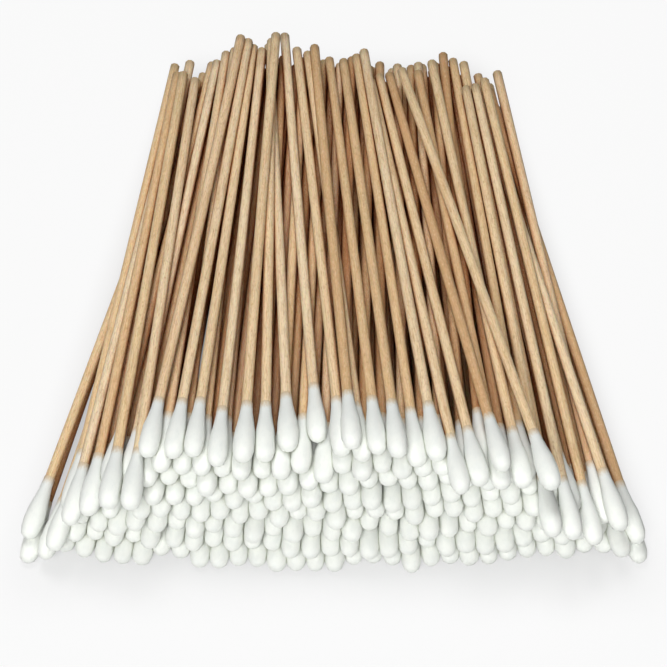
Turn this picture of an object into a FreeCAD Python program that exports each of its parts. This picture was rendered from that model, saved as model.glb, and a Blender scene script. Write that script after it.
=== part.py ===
import FreeCAD, Part
import math
import os
import random

# Pack of cotton swabs with long wooden sticks, laid on a table as one heap.
#
# Every swab is a straight wooden stick whose one end is wound with cotton. All the cotton
# ends point to the front (-Y) and the bare sticks run to the back (+Y). The cotton is twice
# as thick as the stick, so the heap is high and wide at the front and flat and narrow at the
# back: it fans out towards the cotton. X runs to the right and Z up, and the origin is on the
# table, under the middle of the heap.
#
# The heap has rows of swabs that lie in each other's grooves, and on them the top swabs,
# which lie as single ones and cross each other. No height is written down: each swab is laid
# on what lies under it already, and it comes to rest on two of the things that it touches,
# one before and one behind its middle.
#
# A stick's section and a cotton bud's rings are hexagons, drawn inside the round ones. Their
# corners point sideways, so a swab lies on a flat and neighbours meet corner to corner.

doc = FreeCAD.newDocument("CottonSwabs")

# Driving sizes, in millimetres

SIZES = (
    ("swab_length", 152.0),       # tail end of the stick to the cotton's tip
    ("stick_diameter", 2.6),
    ("bud_diameter", 4.8),        # the cotton's widest ring
    ("bud_length", 17.0),         # the cotton's tip to its neck on the stick
    ("neck_diameter", 2.9),       # the cotton's edge on the stick
    ("bud_widest_at", 4.2),       # from the tip to the widest ring
    ("shoulder_diameter", 4.3),   # the ring between the widest one and the tip
    ("shoulder_at", 1.5),
    ("tip_diameter", 3.0),        # the flat end of the cotton
    ("cotton_over_end", 3.0),     # thickness of cotton over the stick's end
    ("head_gap", 0.1),            # between the cotton buds of one row
    ("tail_gap", 0.85),           # the sticks' tails are counted in a stick and this gap
    ("row_setback", 1.5),         # each row's tips stand this far behind those of the row below
    ("fan_setback", 4.5),         # the tips at a row's ends stand behind its middle ones
    ("clearance", 0.05),          # between swabs that touch
    ("head_play", 0.3),           # how unevenly the rows' swabs lie, sideways at the cotton,
    ("tail_play", 1.7),           # sideways at the tail
    ("end_play", 1.6),            # and along their length
    ("roll_play", 1.6),           # how far a swab rolls sideways to find its groove
)

sheet = doc.addObject("Spreadsheet::Sheet", "Sizes")
for line, (alias, value) in enumerate(SIZES, start=1):
    sheet.set("A%d" % line, alias)
    sheet.set("B%d" % line, str(value))
    sheet.setAlias("B%d" % line, alias)
doc.recompute()


def size(alias):
    return float(sheet.get(alias))


# How the swabs are dealt out

# Places across the heap are counted from its middle, at the front in pitches of the lowest
# row's cotton and at the back in pitches of its tails. A tip's place from front to back is in
# lengths of cotton.

# The rows from the table up: number of swabs, the place of the row's middle at the front, and
# how widely its tails are spread, against the lowest row's
ROWS = (
    (29, 0.0, 0.95),
    (28, 0.0, 0.94),
    (28, 0.0, 0.94),
    (26, -0.7, 0.94),
    (24, -0.9, 1.0),
    (22, -1.1, 1.04),
    (17, -0.9, 1.2),
)
LEAN = 0.5    # the rows' tails lie a little further right than their cotton
SEED = 7      # of the unevenness of the rows

# Swabs at the ends of the rows, lowest first: the number of rows that are under them, tip x,
# tip y and tail x. The first ones of the left end slant, and the next rows' sticks lie on them.
LEFT_END = (
    (1, -15.8, 0.10, -11.9),
    (1, -14.8, 0.05, -11.6),
    (2, -14.5, 0.05, -11.9),
    (3, -15.7, 0.35, -10.6),
    (4, -13.5, 0.15, -12.8),
    (5, -12.2, 0.15, -12.6),
    (6, -11.1, 0.05, -12.3),
    (7, -10.1, 0.00, -11.7),
)
RIGHT_END = (
    (1, 15.7, 0.10, 12.3),
    (1, 14.7, 0.05, 12.0),
    (2, 15.5, 0.24, 12.3),
    (3, 14.4, 0.15, 12.0),
    (4, 13.1, -0.05, 12.3),
    (5, 11.9, -0.20, 11.7),
    (6, 10.9, -0.25, 11.2),
)

# Swabs on top of the heap, lowest first: tip x, tip y and tail x
TOP = (
    (9.4, 0.33, 7.6),
    (8.3, 0.20, 6.9),
    (7.2, 0.20, 3.6),
    (6.3, 0.05, 3.2),
    (-2.2, 0.85, -5.9),
    (-3.3, 0.70, -4.8),
    (-6.9, 0.75, -6.3),
    (-8.0, 0.76, -6.7),
    (-4.4, 0.65, -4.4),
    (-5.7, 0.60, -5.7),
    (-9.2, 0.78, -7.3),
    (0.4, 0.70, -3.2),
    (1.3, 0.60, -2.7),
    (2.0, 0.60, -0.6),
    (3.0, 0.50, 0.3),
    (4.0, 0.55, 1.4),
    (5.2, 0.60, 2.0),
    (8.3, 0.33, 4.4),
    (-0.7, 1.05, -4.0),
    (0.9, 0.65, -1.7),
    (10.6, 0.18, 4.8),
)

HEX_FLAT = math.cos(math.pi / 6)    # a hexagon's flats lie this share of its radius out
LEAST_GAIN = 0.01                   # mm by which a roll has to lower a swab
LEAST_ROLL = 0.12                   # mm
NEAR_STEP = 1.25                    # mm between the sections that are compared at the cotton
FAR_STEP = 2.5                      # and along the bare sticks
ROUNDING = 1e-6                     # mm by which a swab's own end may be missed


# The swab's own outline

def outline():
    """(distance from the cotton's tip, radius) along a swab."""
    return (
        (0.0, size("tip_diameter") / 2),
        (size("shoulder_at"), size("shoulder_diameter") / 2),
        (size("bud_widest_at"), size("bud_diameter") / 2),
        (size("bud_length"), size("neck_diameter") / 2),
        (size("bud_length"), size("stick_diameter") / 2),
        (size("swab_length"), size("stick_diameter") / 2),
    )


OUTLINE = outline()
LENGTH = size("swab_length")
THICKEST = size("bud_diameter")
HEAD_PITCH = size("bud_diameter") + size("head_gap")
TAIL_PITCH = size("stick_diameter") + size("tail_gap")
BUD_LENGTH = size("bud_length")
WIDEST_AT = size("bud_widest_at")


def radius_at(distance):
    """Radius of a swab at a distance from its tip, and 0 outside it."""
    if distance < -ROUNDING or distance > LENGTH + ROUNDING:
        return 0.0
    for (near, near_radius), (far, far_radius) in zip(OUTLINE, OUTLINE[1:]):
        if distance <= far:
            share = (distance - near) / (far - near)
            return near_radius + share * (far_radius - near_radius)
    return OUTLINE[-1][1]


# The heap

class Swab:
    """A swab as a straight line over the table: x and z at any y, from its tip at y = tip_y."""

    def __init__(self, tip_x, tip_y, tail_x):
        self.tip_x = tip_x
        self.tip_y = tip_y
        self.tail_x = tail_x
        self.tip_z = 0.0
        self.rise = 0.0    # z gained for each millimetre of y
        self.measure()

    def measure(self):
        """Works out the slopes and the sections after a change of place."""
        self.drift = (self.tail_x - self.tip_x) / LENGTH    # x gained for each millimetre of y
        self.stretch = math.sqrt(1 + self.drift ** 2 + self.rise ** 2)
        self.sections = [(self.x_at(y), self.section_at(y)) for y in STATIONS]

    def x_at(self, y):
        return self.tip_x + self.drift * (y - self.tip_y)

    def z_at(self, y):
        return self.tip_z + self.rise * (y - self.tip_y)

    def section_at(self, y):
        """Radius of the upright section across the heap at y: a slanting swab's is wider."""
        return radius_at((y - self.tip_y) * self.stretch) * self.stretch

    def y_of(self, distance):
        return self.tip_y + distance / self.stretch

    def placement(self):
        """Puts a swab that was drawn upright, tip down, where this one lies."""
        axis = FreeCAD.Vector(self.drift, 1.0, self.rise).normalize()
        across = axis.cross(FreeCAD.Vector(0, 0, 1)).normalize()
        turn = FreeCAD.Rotation(across, axis.cross(across), axis, "ZXY")
        return FreeCAD.Placement(FreeCAD.Vector(self.tip_x, self.tip_y, self.tip_z), turn)


def steps(first, last, step):
    return [first + step * count for count in range(int((last - first) / step) + 1)]


def stations():
    """The y of the sections at which swabs are compared: close together at the cotton."""
    front = -size("fan_setback") - size("end_play")
    tips_end = size("row_setback") * (len(ROWS) + 1) + size("fan_setback") + size("end_play")
    top_end = max([place[1] for place in TOP] + [place[2] for place in LEFT_END + RIGHT_END])
    cotton_end = max(tips_end, top_end * BUD_LENGTH) + BUD_LENGTH
    near = steps(front, cotton_end, NEAR_STEP)
    return near + steps(near[-1] + FAR_STEP, cotton_end + LENGTH, FAR_STEP)


STATIONS = stations()
CLEARANCE = size("clearance")


def on_the_table(swab):
    """(y, height) at which the swab's line passes when the swab touches the table there."""
    bearing = (OUTLINE[0], OUTLINE[2], OUTLINE[-1])
    return [(swab.y_of(distance), radius * HEX_FLAT) for distance, radius in bearing]


def on_swab(swab, other):
    """(y, height) at which the swab's line passes when the swab touches the other one there."""
    gap_front = swab.sections[0][0] - other.sections[0][0]
    gap_back = swab.sections[-1][0] - other.sections[-1][0]
    if gap_front * gap_back > 0 and min(abs(gap_front), abs(gap_back)) > THICKEST + 1:
        return []
    pairs = list(zip(STATIONS, swab.sections, other.sections))
    own = [one.y_of(distance) for one in (swab, other) for distance in (WIDEST_AT, LENGTH)]
    if gap_front * gap_back < 0:
        share = gap_front / (gap_front - gap_back)
        own.append(STATIONS[0] + (STATIONS[-1] - STATIONS[0]) * share)
    for y in own:
        pairs.append(
            (y, (swab.x_at(y), swab.section_at(y)), (other.x_at(y), other.section_at(y)))
        )
    found = []
    for y, (x, radius), (other_x, other_radius) in pairs:
        reach = radius + other_radius + CLEARANCE
        if radius and other_radius and abs(x - other_x) < reach:
            found.append((y, other.z_at(y) + math.sqrt(reach ** 2 - (x - other_x) ** 2)))
    return found


def lowest_line(points, middle):
    """The straight line over all points that is lowest at the middle: (y, z, slope)."""
    before = [point for point in points if point[0] <= middle]
    behind = [point for point in points if point[0] > middle]
    front = max(before, key=lambda point: point[1])
    back = max(behind, key=lambda point: point[1])
    settled = False
    while not settled:
        steepest = max(before, key=lambda point: (point[1] - back[1]) / (back[0] - point[0]))
        highest = max(
            behind, key=lambda point: (point[1] - steepest[1]) / (point[0] - steepest[0])
        )
        settled = steepest == front and highest == back
        front, back = steepest, highest
    return front[0], front[1], (back[1] - front[1]) / (back[0] - front[0])


def rest(swab, laid):
    """Lowers the swab on the table and the laid swabs. Returns the height of its middle."""
    points = on_the_table(swab)
    for other in laid:
        points += on_swab(swab, other)
    middle = swab.y_of(LENGTH / 2)
    y, z, swab.rise = lowest_line(points, middle)
    swab.tip_z = z + swab.rise * (swab.tip_y - y)
    return swab.z_at(middle)


def lay(swab, laid, play):
    """Rolls the swab sideways, its ends apart, while that lowers its middle, and adds it."""
    planned_tip, planned_tail = swab.tip_x, swab.tail_x
    lowest = rest(swab, laid)
    roll = play / 2
    while roll > LEAST_ROLL:
        moved = False
        for tip_roll, tail_roll in ((1, 0), (-1, 0), (0, 1), (0, -1), (1, 1), (-1, -1)):
            before = swab.tip_x, swab.tail_x
            swab.tip_x += tip_roll * roll
            swab.tail_x += tail_roll * roll
            off = max(abs(swab.tip_x - planned_tip), abs(swab.tail_x - planned_tail) / 2)
            swab.measure()
            height = rest(swab, laid) if off <= play else lowest
            if height < lowest - LEAST_GAIN:
                lowest = height
                moved = True
            else:
                swab.tip_x, swab.tail_x = before
        if not moved:
            roll /= 2
    for _ in range(3):
        swab.measure()
        rest(swab, laid)
    laid.append(swab)


def placed(tip_x, tip_y, tail_x):
    """A swab whose place is given in pitches of cotton, lengths of cotton and pitches of tails."""
    return Swab(tip_x * HEAD_PITCH, tip_y * BUD_LENGTH, tail_x * TAIL_PITCH)


def row_swabs(number, chance):
    """The swabs of one row as planned, from left to right."""
    count, middle, spread = ROWS[number]
    uneven = 1.0 if number else 0.05   # the lowest row lies straight on the table
    half = (ROWS[0][0] - 1) / 2
    for index in range(count):
        place = index - (count - 1) / 2
        tip_x = (middle + place) * HEAD_PITCH + uneven * chance.uniform(-1, 1) * size("head_play")
        tail_x = (LEAN + middle + place * spread) * TAIL_PITCH
        tail_x += uneven * chance.uniform(-1, 1) * size("tail_play")
        tip_y = number * size("row_setback") + (place / half) ** 2 * size("fan_setback")
        tip_y += chance.uniform(-1, 1) * size("end_play")
        yield Swab(tip_x, tip_y, tail_x)


def heap():
    """Lays all swabs. Returns {name of the group: its swabs}, from the table up."""
    chance = random.Random(SEED)
    laid, groups = [], {}
    for number in range(len(ROWS)):
        for swab in row_swabs(number, chance):
            lay(swab, laid, size("roll_play") if number else CLEARANCE)
            groups.setdefault("row_%d" % (number + 1), []).append(swab)
        for name, plan in (("left_end", LEFT_END), ("right_end", RIGHT_END)):
            for rows_under, tip_x, tip_y, tail_x in plan:
                if rows_under == number + 1:
                    lay(placed(tip_x, tip_y, tail_x), laid, size("roll_play") / 2)
                    groups.setdefault(name, []).append(laid[-1])
    for count, place in enumerate(TOP, start=1):
        lay(placed(*place), laid, size("roll_play") / 2)
        groups["top_%02d" % count] = [laid[-1]]
    return groups


# The pieces of a swab, drawn upright with the cotton's tip at the origin

def bar(name, owner, radius, bottom, top):
    """An upright hexagonal bar. Its sizes are expressions."""
    prism = owner.newObject("PartDesign::AdditivePrism", name)
    prism.Polygon = 6
    prism.setExpression("Circumradius", radius)
    prism.setExpression("Height", "%s - %s" % (top, bottom))
    owner.setExpression("Placement.Base.z", bottom)
    return prism


def straight(name, bottom, top):
    """A piece of stick between two heights."""
    body = doc.addObject("PartDesign::Body", name)
    bar(name + "Bar", body, "Sizes.stick_diameter / 2", bottom, top)
    return body


def tapered(name, bottom, bottom_diameter, top, top_diameter, widest_at_top):
    """A band of the cotton: a bar as thick as its wider end, whose sides are then drafted."""
    wide, narrow = bottom_diameter, top_diameter
    if widest_at_top:
        wide, narrow = narrow, wide
    body = doc.addObject("PartDesign::Body", name)
    prism = bar(name + "Bar", body, wide + " / 2", bottom, top)
    doc.recompute()
    sides, wide_end = [], []
    for number, face in enumerate(prism.Shape.Faces, start=1):
        upward = face.normalAt(0, 0).z
        if abs(upward) < 0.5:
            sides.append("Face%d" % number)
        elif (upward > 0) == widest_at_top:
            wide_end.append("Face%d" % number)
    draft = body.newObject("PartDesign::Draft", name + "Draft")
    draft.Base = (prism, sides)
    draft.NeutralPlane = (prism, wide_end)
    draft.Reversed = widest_at_top
    slope = "(%s - %s) / 2 * cos(30 deg) / (%s - %s)" % (wide, narrow, top, bottom)
    draft.setExpression("Angle", "atan(%s)" % slope)
    return body


def joined(name, bands):
    whole = doc.addObject("Part::MultiFuse", name)
    whole.Shapes = bands
    return whole


TIP = ("0", "Sizes.tip_diameter")
SHOULDER = ("Sizes.shoulder_at", "Sizes.shoulder_diameter")
WIDEST = ("Sizes.bud_widest_at", "Sizes.bud_diameter")
NECK = ("Sizes.bud_length", "Sizes.neck_diameter")

# A top swab's stick runs into the cotton, which is wound round its end as a deep socket
stick = straight("Stick", "Sizes.cotton_over_end", "Sizes.swab_length")
bud_form = joined(
    "BudForm",
    [
        tapered("BudEnd", *TIP, *SHOULDER, True),
        tapered("BudShoulder", *SHOULDER, *WIDEST, True),
        tapered("BudBack", *WIDEST, *NECK, False),
    ],
)
bud = doc.addObject("Part::Cut", "Bud")
bud.Base = bud_form
bud.Tool = straight("Socket", "Sizes.cotton_over_end", "(Sizes.bud_length + 1)")

# In the rows and at their ends the same swab is drawn plainer, as hundreds of them are alike:
# the stick ends at the cotton's neck, and the cotton has no shoulder
row_stick = straight("RowStick", "Sizes.bud_length", "Sizes.swab_length")
row_bud = joined(
    "RowBud",
    [
        tapered("RowBudFront", *TIP, *WIDEST, True),
        tapered("RowBudBack", *WIDEST, *NECK, False),
    ],
)


# The sub-parts: one for the sticks and one for the cotton of each group

def copies(label, master, swabs):
    """A compound of links to one drawn piece, each where a swab lies."""
    links = []
    for swab in swabs:
        link = doc.addObject("App::Link", label + "_link")
        link.LinkedObject = master
        link.LinkTransform = True
        link.Placement = swab.placement()
        links.append(link)
    group = doc.addObject("Part::Compound", label)
    group.Label = label
    group.Links = links
    return group


def check(objects):
    for item in objects:
        if "Invalid" in item.State or "Error" in item.State:
            raise RuntimeError("%s failed: %s" % (item.Label, item.State))


doc.recompute()
check(doc.Objects)
swab_parts = []
for group_name, group_swabs in heap().items():
    single = group_name.startswith("top_")
    sticks = "%s_stick" if single else "%s_sticks"
    buds = "%s_cotton_bud" if single else "%s_cotton_buds"
    swab_parts.append(copies(sticks % group_name, stick if single else row_stick, group_swabs))
    swab_parts.append(copies(buds % group_name, bud if single else row_bud, group_swabs))
doc.recompute()
check(doc.Objects)

# The heap is moved so that the origin is on the table, under its middle
bounds = FreeCAD.BoundBox()
for part in swab_parts:
    bounds.add(part.Shape.optimalBoundingBox(False))
shift = FreeCAD.Vector(-bounds.Center.x, -bounds.Center.y, -bounds.ZMin)

os.makedirs("parts", exist_ok=True)
for part in swab_parts:
    part.Placement = FreeCAD.Placement(shift, FreeCAD.Rotation())
doc.recompute()
check(doc.Objects)
for part in swab_parts:
    if part.Shape.isNull() or not part.Shape.isValid():
        raise RuntimeError("%s has no valid shape" % part.Label)
    part.Shape.exportStep("parts/%s.step" % part.Label)
print(
    "%d swabs in %d sub-parts; the heap is %.1f x %.1f x %.1f mm"
    % (
        sum(len(part.Links) for part in swab_parts) / 2,
        len(swab_parts),
        bounds.XLength,
        bounds.YLength,
        bounds.ZLength,
    )
)
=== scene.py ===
"""A heap of cotton swabs with long wooden sticks, in Blender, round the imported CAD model.

Each CAD node holds the sticks or the cotton of one group of swabs, as plain six-sided
solids. Here one stick and one cotton bud are modelled, round and whole, and a copy of
them is laid along every solid of the node. Lengths are written in millimetres and turned
into metres, and colours are written as the screen shows them, from 0 to 255.
"""

import math
import random

import bpy
from mathutils import Matrix, Vector, noise


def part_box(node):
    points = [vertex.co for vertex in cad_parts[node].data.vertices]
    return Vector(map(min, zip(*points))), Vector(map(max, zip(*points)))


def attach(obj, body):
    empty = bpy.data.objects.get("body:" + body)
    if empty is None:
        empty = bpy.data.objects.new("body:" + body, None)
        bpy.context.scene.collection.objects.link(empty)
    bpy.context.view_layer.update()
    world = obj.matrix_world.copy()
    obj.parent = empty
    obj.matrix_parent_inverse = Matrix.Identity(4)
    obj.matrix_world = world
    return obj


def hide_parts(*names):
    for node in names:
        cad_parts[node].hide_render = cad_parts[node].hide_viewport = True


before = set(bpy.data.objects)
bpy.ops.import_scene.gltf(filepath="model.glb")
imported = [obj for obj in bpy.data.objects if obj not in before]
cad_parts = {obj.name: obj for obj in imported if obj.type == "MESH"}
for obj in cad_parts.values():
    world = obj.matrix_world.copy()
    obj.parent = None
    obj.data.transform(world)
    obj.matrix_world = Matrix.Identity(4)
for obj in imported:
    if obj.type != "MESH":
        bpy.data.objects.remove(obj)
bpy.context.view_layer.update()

MM = 0.001

# The swab, measured from the cotton's tip along the stick
SWAB_LENGTH = 152.0
STICK_RADIUS = 1.37      # to its corners, so that its section is as large as a round one's
STICK_FRONT = 10.0       # where the stick starts, inside the cotton
STICK_SIDES = 8
STICK_JOINTS = 4         # cuts across the stick, at which it can bow
END_ROUNDING = 0.3       # the cut tail's worn edge
BUD_SIDES = 10
# (distance from the tip, radius) of the cotton, from its neck on the stick to its tip
BUD_PROFILE = (
    (17.8, 1.42),
    (14.8, 1.56),
    (11.8, 1.98),
    (8.8, 2.44),
    (5.4, 2.64),
    (2.8, 2.54),
    (1.0, 2.02),
    (0.22, 1.20),
    (0.0, 0.0),
)
NECK = BUD_PROFILE[0][0]
SMOOTH_ANGLE = 50.0      # degrees between faces, beyond which an edge stays sharp

# How far the swabs are from perfect
BOW = 0.22               # sideways, at a stick's middle
LUMPS = 0.13             # in and out, on the cotton
LUMP_SIZE = 3.2
BUD_SWELL = 0.05         # share by which a bud is thicker or thinner
NECK_FIRM = 6.0          # from the neck on, the swell and the lumps grow over this length
TIP_SOFT = 3.0           # this near to the tip, the lumps also go lengthways

# Limits for what touches
WELD_GAP = 0.001         # points this near to each other are one
END_DEPTH = 0.3          # corners this near to a solid's end belong to that end
TABLE_GAP = 0.02         # the cotton lies this far above the table

# Random ranges, for the noise under the lumps and for the pattern on each swab
NOISE_RANGE = 100.0
PATTERN_RANGE = 400.0

GROOVE_SHADE_REACH = 9.0       # painted shade: the wood is drawn darker where other swabs lie this near
SEAM_SHADE_REACH = 1.8         # painted shade: and so is the cotton

# (tone, colour) of the sticks: most are pale, and a few are darker or redder
STICK_TONES = (
    (0.0, (200, 157, 118)),
    (0.1, (220, 188, 149)),
    (0.3, (230, 206, 169)),
    (0.6, (236, 215, 183)),
    (0.88, (240, 224, 197)),
    (1.0, (230, 196, 159)),
)
# (openness, painted shade) of the wood in a groove, darker and redder deeper in
GROOVE_PAINTED_SHADE = (
    (0.03, (84, 20, 2)),
    (0.13, (160, 68, 16)),
    (0.23, (232, 172, 108)),
    (0.38, (255, 251, 242)),
)
STREAK = (182, 146, 104)
PATCH = (204, 164, 118)
PALE_FLECK = (238, 224, 196)
DARK_FLECK = (164, 124, 84)
WORN_TAIL = (150, 130, 100)
TAIL_WEAR = 4.0          # the stick gets greyer over this length, up to its end

# Cotton
WHITE_COTTON = (241, 243, 237)
GREY_COTTON = (235, 238, 233)
THIN_COTTON = (230, 233, 229)
COTTON_HAIRS = (212, 217, 214)
COTTON_ON_WOOD = (206, 182, 148)
# The next colour is painted shade, laid on the cotton between buds that lie close
COTTON_PAINTED_SHADE = (202, 204, 194)
THINNING = (3.0, 15.0)   # from the tip, where the cotton thins out
RAGGED_EDGE = (16.4, 19.6)    # from the tip, where the wood shows through
RAGGED_DEPTH = 3.0       # how far its hairs move that edge
# The openness over which the cotton's painted shade fades out
SEAM_SHADE_FADE = (0.1, 0.45)

# The table looks plain white, with a faint shade as far as the heap reaches
TABLE_SIZE = 6000.0
HEAP_HALF_WIDTH = 62.0
HEAP_FLARE = 0.2         # the shade gets this much wider with each millimetre to the front
HEAP_HALF_LENGTH = 90.0
SIDE_FADE = (0.85, 1.15)      # in half widths of the heap, where the shade fades out
END_FADE = (0.75, 1.1)        # in half lengths
PLAIN_SHARE = 0.92       # of plain white in the open table's look
SHADE_SHARE = 0.67       # by which there is less of it under the heap
TABLE_GREY = 212
PLAIN_GREY = 253
BACKDROP_GREY = 250

# The lamps: name, place, aim, size across and watts
SOFTBOXES = (
    ("front_softbox", (-130, -720, 800), (0, -20, 20), 500, 8.95),
    ("low_softbox", (100, -950, 350), (0, -80, 20), 500, 0.75),
    ("top_softbox", (-100, 300, 1050), (0, 0, 0), 400, 4.75),
)
AMBIENT = 0.04

# The photograph's camera
PITCH = 54.5             # degrees down
DISTANCE = 590.0
LENS = 116.6
SENSOR = 36.0
LOOK_BEHIND_TIPS = 75.2  # the aim is this far behind the lowest row's tips, on the table


def metres(*values):
    return Vector(values) * MM


def select_only(piece):
    bpy.ops.object.select_all(action="DESELECT")
    piece.select_set(True)
    bpy.context.view_layer.objects.active = piece


# Where the swabs lie

def solids_of(node):
    """The corners of each solid of a CAD node, from left to right."""
    scratch = bpy.data.objects.new("scratch", node.data.copy())
    bpy.context.collection.objects.link(scratch)
    select_only(scratch)
    bpy.ops.object.mode_set(mode="EDIT")
    bpy.ops.mesh.select_all(action="SELECT")
    bpy.ops.mesh.remove_doubles(threshold=WELD_GAP * MM)
    bpy.ops.mesh.separate(type="LOOSE")
    bpy.ops.object.mode_set(mode="OBJECT")
    solids = []
    for solid in bpy.context.selected_objects:
        solids.append([corner.co.copy() for corner in solid.data.vertices])
    bpy.ops.object.delete()
    solids.sort(key=lambda corners: min(corner.x for corner in corners))
    return solids


def middle(points):
    return sum(points, Vector()) / len(points)


def ends_of(corners):
    """The middles of a long solid's ends, the one nearer to the viewer first."""
    axis = Vector((0, 1, 0))
    for _ in range(4):   # each round brings the axis nearer to the solid's own
        along = [corner.dot(axis) for corner in corners]
        near = min(along) + END_DEPTH * MM
        far = max(along) - END_DEPTH * MM
        front = middle([corner for corner, place in zip(corners, along) if place < near])
        back = middle([corner for corner, place in zip(corners, along) if place > far])
        axis = (back - front).normalized()
    return front, back


# One stick and one cotton bud, upright, the cotton's tip at the origin

def mark_places(piece):
    """Keeps each point's place on the swab, in millimetres, for the grain and the fibres."""
    places = piece.data.attributes.new("swab_place", "FLOAT_VECTOR", "POINT")
    for point, place in zip(piece.data.vertices, places.data):
        place.vector = point.co / MM
    heights = piece.data.attributes.new("from_tip", "FLOAT", "POINT")
    for point, height in zip(piece.data.vertices, heights.data):
        height.value = point.co.z / MM
    piece.data.attributes.new("tone", "FLOAT", "POINT")


def model_stick():
    length = SWAB_LENGTH - STICK_FRONT
    bpy.ops.object.select_all(action="DESELECT")
    bpy.ops.mesh.primitive_cylinder_add(
        vertices=STICK_SIDES,
        radius=STICK_RADIUS * MM,
        depth=length * MM,
        location=metres(0, 0, STICK_FRONT + length / 2),
    )
    stick = bpy.context.object
    stick.name = "stick"
    bpy.ops.object.transform_apply(location=True)
    bpy.ops.object.mode_set(mode="EDIT")
    for joint in range(1, STICK_JOINTS + 1):
        height = STICK_FRONT + length * joint / (STICK_JOINTS + 1)
        bpy.ops.mesh.select_all(action="SELECT")
        bpy.ops.mesh.bisect(plane_co=metres(0, 0, height), plane_no=(0, 0, 1))
    wear_tail(stick)
    bpy.ops.object.mode_set(mode="OBJECT")
    bpy.ops.object.shade_smooth_by_angle(angle=math.radians(SMOOTH_ANGLE))
    mark_places(stick)
    return stick


def wear_tail(stick):
    """Rounds the edge of the stick's cut end. The stick is in edit mode before and after."""
    bpy.ops.mesh.select_all(action="DESELECT")
    bpy.ops.object.mode_set(mode="OBJECT")
    for face in stick.data.polygons:
        face.select = face.center.z > (SWAB_LENGTH - END_ROUNDING) * MM
    bpy.ops.object.mode_set(mode="EDIT")
    bpy.ops.mesh.bevel(offset=END_ROUNDING * MM, segments=2, affect="EDGES")


def model_bud():
    """Spins the cotton's outline round the stick."""
    outline = bpy.data.meshes.new("cotton_outline")
    points = [(radius * MM, 0, height * MM) for height, radius in BUD_PROFILE]
    outline.from_pydata(points, [(k, k + 1) for k in range(len(points) - 1)], [])
    bud = bpy.data.objects.new("cotton_bud", outline)
    bpy.context.collection.objects.link(bud)
    select_only(bud)
    bpy.ops.object.mode_set(mode="EDIT")
    bpy.ops.mesh.select_all(action="SELECT")
    bpy.ops.mesh.spin(steps=BUD_SIDES, angle=math.tau, center=(0, 0, 0), axis=(0, 0, 1))
    bpy.ops.mesh.select_all(action="SELECT")
    bpy.ops.mesh.remove_doubles(threshold=WELD_GAP * MM)
    bpy.ops.mesh.select_all(action="SELECT")
    bpy.ops.mesh.normals_make_consistent(inside=False)
    bpy.ops.object.mode_set(mode="OBJECT")
    bpy.ops.object.shade_smooth()
    mark_places(bud)
    return bud


# Copies along the CAD solids

def laid_along(front, back):
    """The turn and place that lay an upright piece along a line, its foot at the front."""
    turn = (back - front).to_track_quat("Z", "Y").to_matrix().to_4x4()
    return Matrix.Translation(front) @ turn


def copy_of(master, lay, chance, shape):
    """A copy with its own mesh, turned at random round its own line and shaped by shape()."""
    mesh = master.data.copy()
    roll = Matrix.Rotation(chance.uniform(0, math.tau), 4, "Z")
    mesh.transform(roll)
    shape(mesh, chance)
    mesh.transform(lay)
    shift = Vector(chance.uniform(0, PATTERN_RANGE) for _ in range(3))
    tone = chance.random()
    for place in mesh.attributes["swab_place"].data:
        place.vector = place.vector + shift
    for value in mesh.attributes["tone"].data:
        value.value = tone
    piece = bpy.data.objects.new(master.name + "_copy", mesh)
    bpy.context.collection.objects.link(piece)
    return piece


def bow_stick(mesh, chance):
    """Bends a stick a little one way, and less, in an S, the other way."""
    bow = chance.uniform(-BOW, BOW) * MM
    sway = chance.uniform(-BOW, BOW) * MM / 3
    for point in mesh.vertices:
        share = point.co.z / (SWAB_LENGTH * MM)
        point.co.x += bow * math.sin(math.pi * share)
        point.co.y += sway * math.sin(math.tau * share)


def shape_bud(mesh, chance):
    """Makes each wad of cotton a bit thicker or thinner, and lumpy."""
    swell = chance.uniform(-BUD_SWELL, BUD_SWELL)
    seed = Vector(chance.uniform(0, NOISE_RANGE) for _ in range(3))
    for point in mesh.vertices:
        share = min(1.0, max(0.0, (NECK * MM - point.co.z) / (NECK_FIRM * MM)))
        lump = noise.noise(point.co / (LUMP_SIZE * MM) + seed) * LUMPS * MM * share
        out = Vector((point.co.x, point.co.y, 0)).normalized()
        point.co.x *= 1 + swell * share
        point.co.y *= 1 + swell * share
        point.co += out * lump
        if point.co.z < TIP_SOFT * MM:
            point.co.z -= lump / 2


def join(pieces, name):
    bpy.ops.object.select_all(action="DESELECT")
    for piece in pieces:
        piece.select_set(True)
    bpy.context.view_layer.objects.active = pieces[0]
    if len(pieces) > 1:
        bpy.ops.object.join()
    whole = bpy.context.view_layer.objects.active
    whole.name = name
    whole.data.name = name
    return whole


def keep_above_table(piece):
    """Cotton is soft: it flattens where it rests on the table."""
    for point in piece.data.vertices:
        point.co.z = max(point.co.z, TABLE_GAP * MM)


# Materials

def rgb(red, green, blue):
    """A colour as written on the screen, from 0 to 255, in Blender's linear values."""
    linear = []
    for value in (red / 255, green / 255, blue / 255):
        linear.append(value / 12.92 if value < 0.04045 else ((value + 0.055) / 1.055) ** 2.4)
    return (*linear, 1.0)


def grey(value):
    return rgb(value, value, value)


class Signal:
    """A number or colour that changes over a surface. Arithmetic on it adds Math nodes."""

    def __init__(self, finish, socket):
        self.finish = finish
        self.socket = socket

    def math(self, operation, *values):
        inputs = dict(enumerate(values))
        return self.finish.add("ShaderNodeMath", {"operation": operation}, inputs)

    def __add__(self, other):
        return self.math("ADD", self, other)

    def __sub__(self, other):
        return self.math("SUBTRACT", self, other)

    def __mul__(self, other):
        return self.math("MULTIPLY", self, other)

    def __truediv__(self, other):
        return self.math("DIVIDE", self, other)

    def __radd__(self, other):
        return self.math("ADD", other, self)

    def __rsub__(self, other):
        return self.math("SUBTRACT", other, self)

    def __rmul__(self, other):
        return self.math("MULTIPLY", other, self)

    def __rtruediv__(self, other):
        return self.math("DIVIDE", other, self)

    def __abs__(self):
        return self.math("ABSOLUTE", self)


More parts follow.
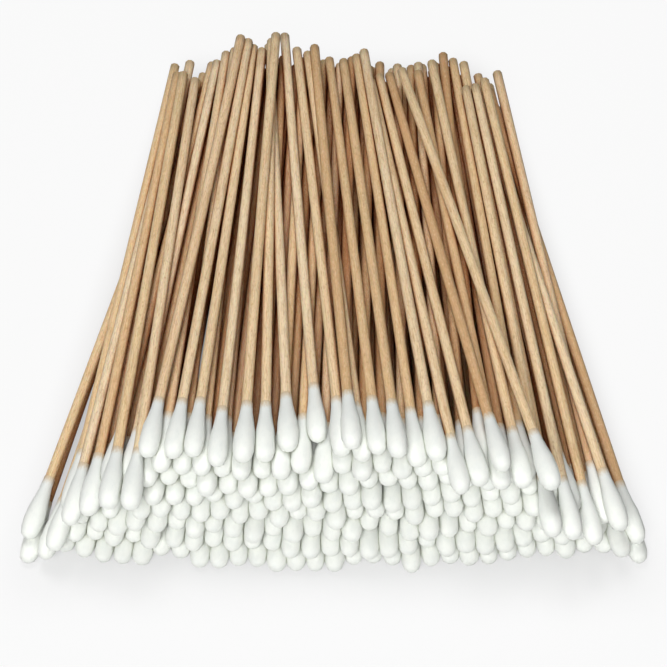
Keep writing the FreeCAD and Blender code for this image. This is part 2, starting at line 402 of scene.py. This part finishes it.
class Finish:
    """One material and the nodes that make it."""

    def __init__(self, name, constants=None):
        """A new material. The constants are those of its Principled shader."""
        self.material = bpy.data.materials.new(name)
        self.material.use_nodes = True
        self.tree = self.material.node_tree
        self.surface = self.tree.nodes["Principled BSDF"]
        for socket, value in (constants or {}).items():
            self.feed(self.surface.inputs[socket], value)

    def add(self, kind, settings=None, inputs=None, output=0):
        """A node with its settings and the values or signals of its inputs."""
        node = self.tree.nodes.new(kind)
        for name, value in (settings or {}).items():
            if name == "stops":
                self.set_stops(node.color_ramp.elements, value)
            else:
                setattr(node, name, value)
        for name, value in (inputs or {}).items():
            self.feed(node.inputs[name], value)
        return Signal(self, node.outputs[output])

    def set_stops(self, elements, stops):
        while len(elements) < len(stops):
            elements.new(1.0)
        for element, (place, colour) in zip(elements, stops):
            element.position = place
            element.color = rgb(*colour)

    def feed(self, socket, value):
        if isinstance(value, Signal):
            self.tree.links.new(value.socket, socket)
        else:
            socket.default_value = value

    def ramp(self, place, stops):
        """The colour at a place among the stops, each a (place, colour)."""
        return self.add("ShaderNodeValToRGB", {"stops": stops}, {"Fac": place})

    def mix(self, share, first, second, blend="MIX"):
        """A colour between two, by share."""
        settings = {"data_type": "RGBA", "blend_type": blend}
        inputs = {0: share, 6: first, 7: second}
        return self.add("ShaderNodeMix", settings, inputs, output=2)

    def tinted(self, colour, tint):
        """A colour darkened by another."""
        return self.mix(1.0, colour, tint, "MULTIPLY")

    def between(self, value, low, high):
        """0 below low and 1 above high, smooth in between."""
        return self.add(
            "ShaderNodeMapRange",
            {"interpolation_type": "SMOOTHSTEP"},
            {"Value": value, "From Min": low, "From Max": high},
        )

    def attribute(self, name, output):
        return self.add("ShaderNodeAttribute", {"attribute_name": name}, output=output)

    def tone(self):
        """One random number for each swab."""
        return self.attribute("tone", output=2)

    def from_tip(self):
        """The point's distance from the cotton's tip, in millimetres."""
        return self.attribute("from_tip", output=2)

    def cloud(self, across, along, detail, roughness=0.5):
        """A soft random pattern from about 0 to 1.

        It changes this many times in a millimetre across the swab and along it.
        """
        place = self.attribute("swab_place", output=1)
        stretched = self.add(
            "ShaderNodeVectorMath",
            {"operation": "MULTIPLY"},
            {0: place, 1: (across, across, along)},
        )
        inputs = {"Vector": stretched, "Scale": 1.0, "Detail": detail, "Roughness": roughness}
        return self.add("ShaderNodeTexNoise", {"noise_dimensions": "3D"}, inputs)

    def openness(self, reach):
        """0 deep in a groove and 1 in the open, by what lies within the reach; it sets where
        shade is painted.
        """
        inputs = {"Distance": reach * MM}
        return self.add("ShaderNodeAmbientOcclusion", {"samples": 6}, inputs, output="AO")

    def bump(self, height, distance, strength):
        bumped = {"Height": height, "Distance": distance * MM, "Strength": strength}
        self.feed(self.surface.inputs["Normal"], self.add("ShaderNodeBump", {}, bumped))


def birch():
    """Pale birch with fine grain along the stick; some sticks are redder or greyer. Shade is
    painted darker and redder into the grooves between sticks.
    """
    finish = Finish("birch_wood", {
        "Specular IOR Level": 0.15,
        "Subsurface Weight": 0.2,
        "Subsurface Radius": (1.0, 0.35, 0.12),
        "Subsurface Scale": 0.6 * MM,
    })
    patches = finish.cloud(0.5, 0.03, detail=2.0)
    fibres = finish.cloud(3.2, 0.22, detail=3.0, roughness=0.65)
    flecks = finish.cloud(3.0, 0.9, detail=3.0, roughness=0.7)
    wood = finish.ramp(finish.tone(), STICK_TONES)
    # A layer has its whole share of the colour where its pattern is full, and none where bare
    for pattern, bare, full, share, colour in (
        (fibres, 0.42, 0.68, 0.5, STREAK),
        (patches, 0.45, 0.8, 0.4, PATCH),
        (flecks, 0.45, 0.3, 0.5, PALE_FLECK),
        (flecks, 0.54, 0.68, 0.45, DARK_FLECK),
        (finish.from_tip(), SWAB_LENGTH - TAIL_WEAR, SWAB_LENGTH, 0.5, WORN_TAIL),
    ):
        wood = finish.mix(finish.between(pattern, bare, full) * share, wood, rgb(*colour))
    # Painted shade: the wood is darker and redder where other swabs lie near, deep in the
    # grooves
    painted_groove_shade = finish.ramp(finish.openness(GROOVE_SHADE_REACH), GROOVE_PAINTED_SHADE)
    finish.feed(finish.surface.inputs["Base Color"], finish.tinted(wood, painted_groove_shade))
    finish.feed(finish.surface.inputs["Roughness"], 0.6 + fibres * 0.25)
    finish.bump(fibres * 0.6 + flecks * 0.4, distance=0.08, strength=0.7)
    return finish.material


def cotton():
    """Wound cotton, without gloss: white at the tip, greyer where it thins out at the neck,
    with painted shade where buds lie close.
    """
    finish = Finish("wound_cotton", {
        "Specular IOR Level": 0.1,
        "Sheen Weight": 0.15,
        "Roughness": 0.95,
    })
    lumps = finish.cloud(0.5, 0.3, detail=2.0)
    hairs = finish.cloud(3.0, 0.9, detail=3.0, roughness=0.7)
    height = finish.from_tip()
    wool = rgb(*WHITE_COTTON)
    # Each layer takes its share of the colour
    for share, colour in (
        (finish.between(lumps, 0.35, 0.75), GREY_COTTON),
        (finish.between(height, *THINNING), THIN_COTTON),
        (finish.between(hairs, 0.5, 0.85) * 0.4, COTTON_HAIRS),
        (finish.between(height + hairs * RAGGED_DEPTH, *RAGGED_EDGE), COTTON_ON_WOOD),
    ):
        wool = finish.mix(share, wool, rgb(*colour))
    # Painted shade: the cotton is darker where other buds lie close to it
    open_air = finish.between(finish.openness(SEAM_SHADE_REACH), *SEAM_SHADE_FADE)
    painted_seam_shade = finish.mix(open_air, rgb(*COTTON_PAINTED_SHADE), grey(255))
    finish.feed(finish.surface.inputs["Base Color"], finish.tinted(wool, painted_seam_shade))
    finish.bump(hairs * 0.6 + lumps * 0.4, distance=0.12, strength=0.5)
    return finish.material


# The swabs

def dress(node_name, master, measure, shape, material):
    """Replaces a CAD node by copies of a master laid along its solids."""
    chance = random.Random(node_name)
    pieces = []
    for corners in solids_of(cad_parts[node_name]):
        front, back = measure(*ends_of(corners))
        pieces.append(copy_of(master, laid_along(front, back), chance, shape))
    whole = join(pieces, "round_" + node_name)
    keep_above_table(whole)
    whole.data.materials.clear()
    whole.data.materials.append(material)
    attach(whole, "root")
    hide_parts(node_name)


def stick_line(front, back):
    """A stick's line, from where its swab's tip is."""
    return back - (back - front).normalized() * SWAB_LENGTH * MM, back


def bud_line(front, back):
    """A bud's line. Its own tip is the front."""
    return front, back


def make_swabs():
    stick, bud = model_stick(), model_bud()
    wood_finish, cotton_finish = birch(), cotton()
    for node_name in sorted(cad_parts):
        if "cotton" in node_name:
            dress(node_name, bud, bud_line, shape_bud, cotton_finish)
        else:
            dress(node_name, stick, stick_line, bow_stick, wood_finish)
    for master in (stick, bud):
        bpy.data.objects.remove(master)


# The table, the light and the camera

def make_table():
    """A wide white table that fades into the white background and keeps a faint shadow."""
    bpy.ops.object.select_all(action="DESELECT")
    bpy.ops.mesh.primitive_plane_add(size=TABLE_SIZE * MM)
    table = bpy.context.object
    table.name = "table"
    finish = Finish("white_table")
    tree = finish.tree
    tree.nodes.remove(finish.surface)
    place = finish.add("ShaderNodeTexCoord", output="Object")
    across = finish.add("ShaderNodeSeparateXYZ", inputs={"Vector": place}, output="X")
    along = finish.add("ShaderNodeSeparateXYZ", inputs={"Vector": place}, output="Y")
    sideways = abs(across) / (HEAP_HALF_WIDTH * MM - HEAP_FLARE * along)
    lengthways = abs(along) / (HEAP_HALF_LENGTH * MM)
    inside = 1 - finish.between(sideways, *SIDE_FADE)
    under = inside * (1 - finish.between(lengthways, *END_FADE))
    seen = finish.add("ShaderNodeLightPath", output="Is Camera Ray")
    share = seen * (PLAIN_SHARE - SHADE_SHARE * under)
    lit = finish.add("ShaderNodeBsdfDiffuse", inputs={"Color": grey(TABLE_GREY)})
    plain = finish.add("ShaderNodeEmission", inputs={"Color": grey(PLAIN_GREY)})
    mixed = finish.add("ShaderNodeMixShader", inputs={0: share, 1: lit, 2: plain})
    tree.links.new(mixed.socket, tree.nodes["Material Output"].inputs["Surface"])
    table.data.materials.append(finish.material)


def add_softbox(name, place, aim, size, watts):
    place, aim = metres(*place), metres(*aim)
    bpy.ops.object.select_all(action="DESELECT")
    bpy.ops.object.light_add(type="AREA", location=place)
    softbox = bpy.context.object
    softbox.name = name
    softbox.data.shape = "DISK"
    softbox.data.size = size * MM
    softbox.data.energy = watts
    softbox.rotation_euler = (aim - place).to_track_quat("-Z", "Y").to_euler()


def make_light():
    """A weak white world that looks nearly white to the camera, and the lamps."""
    world = bpy.data.worlds.new("studio")
    bpy.context.scene.world = world
    world.use_nodes = True
    nodes, links = world.node_tree.nodes, world.node_tree.links
    lights = nodes["Background"]
    lights.inputs["Color"].default_value = grey(255)
    lights.inputs["Strength"].default_value = AMBIENT
    backdrop = nodes.new("ShaderNodeBackground")
    backdrop.inputs["Color"].default_value = grey(BACKDROP_GREY)
    path = nodes.new("ShaderNodeLightPath")
    choice = nodes.new("ShaderNodeMixShader")
    links.new(path.outputs["Is Camera Ray"], choice.inputs[0])
    links.new(lights.outputs[0], choice.inputs[1])
    links.new(backdrop.outputs[0], choice.inputs[2])
    links.new(choice.outputs[0], nodes["World Output"].inputs["Surface"])
    for softbox in SOFTBOXES:
        add_softbox(*softbox)


def make_camera():
    tips_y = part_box("row_1_cotton_buds")[0][1] / MM
    pitch = math.radians(PITCH)
    place = metres(
        0,
        tips_y + LOOK_BEHIND_TIPS - DISTANCE * math.cos(pitch),
        DISTANCE * math.sin(pitch),
    )
    bpy.ops.object.camera_add(location=place, rotation=(math.pi / 2 - pitch, 0, 0))
    camera = bpy.context.object
    camera.data.sensor_width = SENSOR
    camera.data.lens = LENS
    bpy.context.scene.camera = camera
    bpy.context.scene.view_settings.view_transform = "Standard"


make_camera()
make_table()
make_light()
make_swabs()
